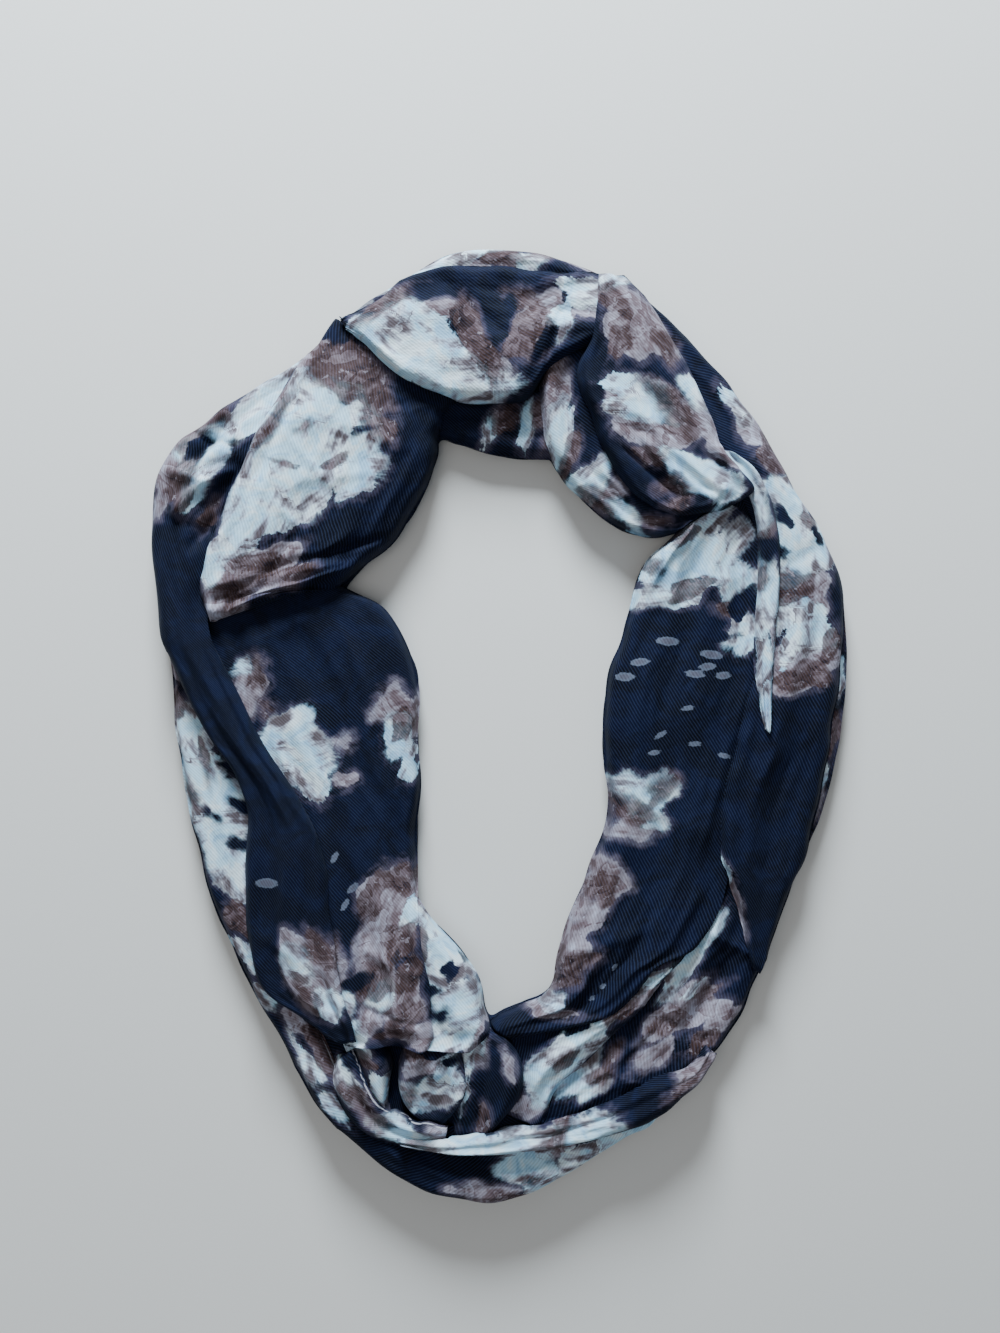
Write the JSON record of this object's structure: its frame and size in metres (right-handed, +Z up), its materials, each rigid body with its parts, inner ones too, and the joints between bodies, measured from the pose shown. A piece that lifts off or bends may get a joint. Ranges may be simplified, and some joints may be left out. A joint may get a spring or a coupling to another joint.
{
  "type": "infinity scarf",
  "caption": "Lightweight printed infinity scarf, one loop of soft cloth lying gathered on a flat surface as a long oval ring of folds.",
  "frame": {"origin": "middle of the ring's bounding box, on the surface that it lies on", "axes": "+Z up from the surface, +Y along the ring's length towards its smoother end, +X across it"},
  "size_m": [0.4746, 0.6494, 0.0452],
  "materials": {
    "printed_cloth": "matt twill with a faint sheen, navy ground printed with pale blue, mauve and taupe blooms"
  },
  "bodies": {
    "root": {"hidden_layers": "printed_cloth", "lower_left_under_fold": "printed_cloth", "outer_left_and_bottom_strip": "printed_cloth", "outer_right_under_edge": "printed_cloth", "top_under_layer": "printed_cloth", "lower_right_panel": "printed_cloth", "lower_right_ridge": "printed_cloth", "inner_right_panel": "printed_cloth", "twist_fold": "printed_cloth", "bowl_fold": "printed_cloth", "inner_left_lobe": "printed_cloth", "lower_left_roll": "printed_cloth", "hem_band": "printed_cloth", "inner_left_panel": "printed_cloth", "outer_left_roll": "printed_cloth", "upper_left_flap": "printed_cloth", "bottom_band": "printed_cloth", "outer_right_panel": "printed_cloth", "narrow_right_roll": "printed_cloth", "inner_upper_roll": "printed_cloth", "top_outer_strip": "printed_cloth", "top_flap": "printed_cloth", "upper_right_big_fold": "printed_cloth"}
  },
  "joints": []
}
